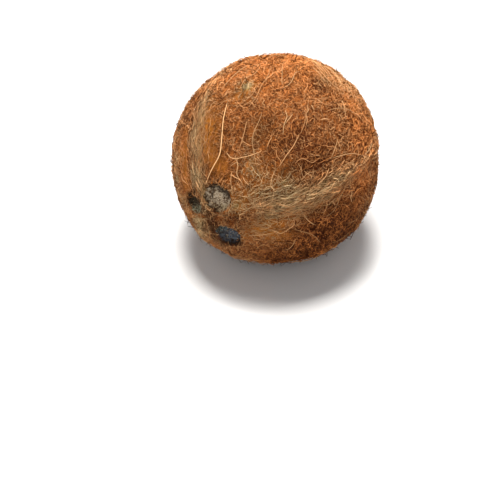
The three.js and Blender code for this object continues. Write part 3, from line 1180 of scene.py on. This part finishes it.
def strand_tree(material):
    tree, given = new_tree("loose strands", [("Shell", "NodeSocketObject", None)])
    shell_mesh = flow_from(tree, "GeometryNodeObjectInfo", {"Object": given["Shell"]}, "Geometry")
    lines = flow_from(tree, "GeometryNodeMeshToCurve", {0: given["Geometry"]})
    lift, tone, hue, half_thickness = (
        read_mark(tree, name) for name in ("lift", "strand_tone", "strand_hue", "half_thickness")
    )
    lines = move_points(lines, drop_on_shell(shell_mesh, position_in(tree), lift))
    finish_tree(skin_lines(lines, half_thickness, tone, hue), material)
    return tree


def ruled_strands():
    strands = []
    for k in range(STRAND_COUNT):
        route = strand_route(k)
        if is_clear(route):
            line = [point_off(polar, around, EQUATOR_RADIUS) for polar, around, _ in route]
            tone, hue = from_range(STRAND_TONES, k, 5), from_range(STRAND_HUES, k, 6)
            strands.append((line, [lift for _, _, lift in route], tone, hue, STRAND_HALF_THICKNESS))
    return strands


def drawn_strands():
    strands = []
    for k, pixels in enumerate([BOLD_STRAND, *DRAWN_STRANDS]):
        line = [cast_on_shell(pixel) for pixel in smooth_line(pixels, STEPS_BETWEEN)]
        line = [place for place in line if place]
        arches = [math.sin(math.pi * step / (len(line) - 1)) ** 0.5 for step in range(len(line))]
        lifts = [DRAWN_ARCH * arch - DRAWN_ROOT for arch in arches]
        line = [lean_back(place, lift) for place, lift in zip(line, lifts)]
        tone, half_thickness = from_range(DRAWN_TONES, k, 7), DRAWN_HALF_THICKNESS
        if pixels is BOLD_STRAND:
            tone, half_thickness = BOLD_TONE, BOLD_HALF_THICKNESS
        strands.append((line, lifts, tone, from_range(DRAWN_HUES, k, 8), half_thickness))
    return strands


bpy.context.view_layer.update()
loose = ruled_strands() + drawn_strands()
strands = grow("loose_strands", strands_mesh(loose), strand_tree(fibre_skin), {"Shell": shell})
fibres.append(strands)
print(len(loose), "loose strands")

# %% [markdown]
# ## The shell's finish
#
# Between the fibres shows the felted ground they grow in: light and dark brown by turns, golden
# where it is rubbed, and greyish along the seams and on worn spots. The eyes
# have floors of their own: pale, speckled ones in two of them, and a dark blue-grey one in the
# soft eye, where the skin is thin. Part of each floor is tinted, and part is darkened as painted
# shade, a shadow in the pit: the part toward a side, given as an angle like `around`, and past
# an edge, given in radii from the eye's middle. Each eye's dark rim is faint all round and
# painted shade where it darkens, and a crease across the upper eye's floor is painted shade too.

# %% Shell material
GROUND_DARK = (0.045, 0.010, 0.002, 1.0)
GROUND_LIGHT = (0.32, 0.10, 0.022, 1.0)
RUBBED = (0.32, 0.112, 0.015, 1.0)
RUBBED_DARK = (0.155, 0.052, 0.008, 1.0)
SEAM_GROUND = (0.34, 0.21, 0.085, 1.0)
SEAM_DARK = (0.07, 0.03, 0.008, 1.0)
WORN_GROUND = (0.24, 0.18, 0.075, 1.0)
EYE_RIM_AND_SHADE = (0.014, 0.006, 0.002, 1.0)  # the eyes' dark rim, also the colour of their painted deep shade and of the painted shade in the crease
EYE_LOOKS = {  # for each of EYES: the left one, the upper one and the soft one
    "floor": [(0.36, 0.32, 0.20, 1.0), (0.53, 0.42, 0.29, 1.0), (0.058, 0.066, 0.078, 1.0)],
    "specks": [(0.06, 0.04, 0.018, 1.0), (0.09, 0.05, 0.025, 1.0), (0.014, 0.010, 0.009, 1.0)],
    "tint": [(0.40, 0.38, 0.25, 1.0), (0.30, 0.22, 0.12, 1.0), (0.085, 0.100, 0.082, 1.0)],
    "tint side": [radians(-70), radians(-75), radians(140)],
    "shade": [0.93, 0.9, 0.9],  # how dark the painted shade is
    "shade side": [radians(115), radians(70), radians(-45)],
    "shade edge": [(-0.95, -0.15), (-0.1, 0.45), (0.35, 0.8)],
    "crease_shade": [0.0, 0.8, 0.0],  # how dark the painted shade in a crease is
    "rim side": [radians(30), radians(238), radians(60)],  # where the rim is painted darker as shade, besides the shaded side
}
EDGE_WANDER = 0.3  # how far tints and shades follow the ragged edge
TINT_SHARE, TINT_EDGE = 0.85, (0.3, 0.8)
CREASE_OFFSET, CREASE_WANDER, CREASE_WIDTH, CREASE_FADE = 0.62, 0.1, 0.09, (0.3, 0.6)
FLOOR_EDGE = (0.9, 0.1)  # how far inside an eye's wall its floor starts to end, and ends
RIM_INSET, RIM_WIDTH = 0.4, 0.8
RIM_SHARES = (0.2, 0.95)  # how dark the rim is away from the dark sides, and on them, where it is painted shade
SHADED_RIM_EDGE, RIM_EDGE = (-0.3, 0.4), (0.3, 0.7)


def read_surface_mark(tree, name, output="Vector"):
    return flow_from(tree, "ShaderNodeAttribute", output=output, attribute_name=name)


def paint_eye(ground, place, eye, away, ragged, speck, look):
    """Puts one eye's floor, its tint, its painted shade and crease shade, and its dark rim, partly
    painted shade, over the ground.
    """
    tree = place.tree
    eye_polar, eye_around, radius, _ = eye
    middle = join(tree, *point_off(eye_polar, eye_around, body_radius(eye_polar, eye_around)))
    x, _, z = parts_of(scaled(on_vectors("SUBTRACT", place, middle), 1.0 / (radius * MM)))

    def toward(side):
        return math.cos(side) * x + math.sin(side) * z + EDGE_WANDER * ragged

    tinted = TINT_SHARE * rise(toward(look["tint side"]), *TINT_EDGE)
    floor = mix_colours(tree, tinted, look["floor"], look["tint"])
    floor = mix_colours(tree, speck, look["specks"], floor)
    # painted shade in a crease across the floor, on the upper eye only
    crease_shade = look["crease_shade"] * bell((x + CREASE_OFFSET + CREASE_WANDER * ragged) / CREASE_WIDTH)
    crease_shade = crease_shade * (1.0 - rise(size_of(z), *CREASE_FADE))
    floor = mix_colours(tree, crease_shade, floor, EYE_RIM_AND_SHADE)
    # painted shade: the floor toward the shade side is darkened, as a shadow in the pit
    shaded = rise(toward(look["shade side"]), *look["shade edge"])
    floor = mix_colours(tree, look["shade"] * shaded, floor, EYE_RIM_AND_SHADE)
    inside = 1.0 - rise(away, radius - FLOOR_EDGE[0], radius - FLOOR_EDGE[1])
    # the rim is faint all round, and darkened as painted shade on the shaded side and toward the rim side
    on_shaded_side = rise(toward(look["shade side"]), *SHADED_RIM_EDGE)
    dark_rim = most(on_shaded_side, rise(toward(look["rim side"]), *RIM_EDGE))
    rim = bell((away - radius + RIM_INSET) / RIM_WIDTH) * blend(*RIM_SHARES, dark_rim)
    return mix_colours(tree, rim, mix_colours(tree, inside, ground, floor), EYE_RIM_AND_SHADE)


# %% [markdown]
# The ground is mixed from noises of several sizes: broad and fine streaks along the nut, a
# mottle and a fine grain. Where such a mix passes through a range, one colour gives way to
# another.

# %% The noises and the mixes of the ground
BROAD_STREAKS = (15.0, 2.6)  # how finely across and along the nut
MOTTLE, GRAIN, SPECKS, SPECK_PATCHES, EDGES = 260.0, 1300.0, 1250.0, 330.0, 600.0
RAGGED_EDGE = 2.6  # millimetres by which the colours of the eyes wander
GROUND_RANGE, RUBBED_RANGE = (0.4, 0.66), (0.35, 0.6)
SEAM_COLOURS_RANGE, SEAM_RANGE = (0.4, 0.55), (0.35, 0.8)
WORN_COLOURS_RANGE, WORN_RANGE = (0.38, 0.52), (0.35, 0.75)
SPECK_RANGE = (0.38, 0.6)
BUMP_STRENGTH, BUMP_DEPTH = 0.7, 0.5
SHELL_ROUGHNESS, SHELL_SHINE = 0.8, 0.05


def make_shell_material(material):
    tree, shader = material_parts(material)
    place = flow_from(tree, "ShaderNodeTexCoord", output="Object")
    streaks = cloud(tree, streak_place(place, *BROAD_STREAKS), 1.0, 5.0, 0.62)
    fine_streaks = cloud(tree, streak_place(place, *FLECK_STREAKS), 1.0, 3.0, 0.6)
    mottle = cloud(tree, place, MOTTLE, 4.0, 0.6)
    grain = cloud(tree, place, GRAIN, 2.0, 0.6)
    tone, hue, bare, _ = zone_sums(outward_from(place))
    band = seam_band(read_surface_mark(tree, "seam_mm"), read_surface_mark(tree, "polar", "Fac"))

    pattern = 0.3 * streaks + 0.2 * mottle + 0.5 * grain
    combed = 0.6 * fine_streaks + 0.4 * grain
    ground = mix_colours(tree, rise(pattern + 0.5 * tone, *GROUND_RANGE), GROUND_DARK, GROUND_LIGHT)
    both_streaks = 0.5 * streaks + 0.5 * fine_streaks
    rubbed = mix_colours(tree, rise(both_streaks, *RUBBED_RANGE), RUBBED_DARK, RUBBED)
    ground = mix_colours(tree, within(bare, 0.0, 1.0), ground, rubbed)
    seam = mix_colours(tree, rise(combed, *SEAM_COLOURS_RANGE), SEAM_DARK, SEAM_GROUND)
    ground = mix_colours(tree, rise(band + 1.2 * (pattern - 0.5), *SEAM_RANGE), ground, seam)
    worn = mix_colours(tree, rise(combed, *WORN_COLOURS_RANGE), SEAM_DARK, WORN_GROUND)
    ground = mix_colours(tree, rise(hue, *WORN_RANGE), ground, worn)

    ragged = RAGGED_EDGE * (cloud(tree, place, EDGES, 2.0) - 0.5)
    patches = 0.5 * (cloud(tree, place, SPECK_PATCHES) - 0.5)
    speck = rise(cloud(tree, place, SPECKS, 2.0, 0.6) + patches, *SPECK_RANGE)
    for number, away in enumerate(parts_of(read_surface_mark(tree, "eye_mm"))):
        look = {name: values[number] for name, values in EYE_LOOKS.items()}
        ground = paint_eye(ground, place, EYES[number], away + ragged, ragged, speck, look)

    feed(tree, shader.inputs["Base Color"], ground)
    shader.inputs["Roughness"].default_value = SHELL_ROUGHNESS
    shader.inputs["Specular IOR Level"].default_value = SHELL_SHINE
    inputs = {"Strength": BUMP_STRENGTH, "Distance": BUMP_DEPTH * MM, "Height": streaks + mottle}
    feed(tree, shader.inputs["Normal"], flow_from(tree, "ShaderNodeBump", inputs))


make_shell_material(shell_skin)

# %% [markdown]
# ## Floor and light
#
# The nut lies on a plain white floor under soft light from a wide lamp overhead, with a weaker
# fill from the camera's side and a little light from all round.

# %% Floor, lamps and world
FLOOR_SIZE = 6.0
FLOOR_COLOUR, FLOOR_ROUGHNESS = (0.78, 0.78, 0.78, 1.0), 0.9
WORLD_COLOUR, WORLD_STRENGTH = (1.0, 1.0, 1.0, 1.0), 0.35
LAMPS = [  # name, place and size in metres, watts, colour
    ("overhead", (-0.1, 0.05, 1.2), 0.5, 31.0, (1.0, 0.98, 0.95)),
    ("fill", (0.5, -0.9, 0.7), 0.8, 3.0, (1.0, 1.0, 1.0)),
]


def make_floor():
    mesh = bpy.data.meshes.new("floor")
    half = FLOOR_SIZE / 2
    corners = [(-half, -half, 0.0), (half, -half, 0.0), (half, half, 0.0), (-half, half, 0.0)]
    mesh.from_pydata(corners, [], [(0, 1, 2, 3)])
    material = bpy.data.materials.new("floor")
    _, shader = material_parts(material)
    shader.inputs["Base Color"].default_value = FLOOR_COLOUR
    shader.inputs["Roughness"].default_value = FLOOR_ROUGHNESS
    mesh.materials.append(material)
    floor = bpy.data.objects.new("floor", mesh)
    bpy.context.scene.collection.objects.link(floor)


def add_lamp(name, place, size, watts, colour):
    """A square lamp that faces the nut's middle."""
    light = bpy.data.lights.new(name, "AREA")
    light.size, light.energy, light.color = size, watts, colour
    lamp = bpy.data.objects.new(name, light)
    lamp.location = place
    lamp.rotation_euler = (Vector(place) - Vector(CENTRE)).to_track_quat("Z", "Y").to_euler()
    bpy.context.scene.collection.objects.link(lamp)


def light_world():
    world = bpy.data.worlds.new("studio")
    world.use_nodes = True
    background = world.node_tree.nodes["Background"]
    background.inputs["Color"].default_value = WORLD_COLOUR
    background.inputs["Strength"].default_value = WORLD_STRENGTH
    bpy.context.scene.world = world


make_floor()
light_world()
for lamp in LAMPS:
    add_lamp(*lamp)
bpy.context.scene.view_settings.view_transform = "Standard"

# %% [markdown]
# ## The nut's body
#
# Every piece rides on the nut's one body. The solid nut is hidden, and the shell and the
# strands show it in its place.

# %% Bodies, and the solid nut hidden
for piece in [shell, *fibres]:
    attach(piece, "root")
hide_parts("coconut")
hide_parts("coconut")
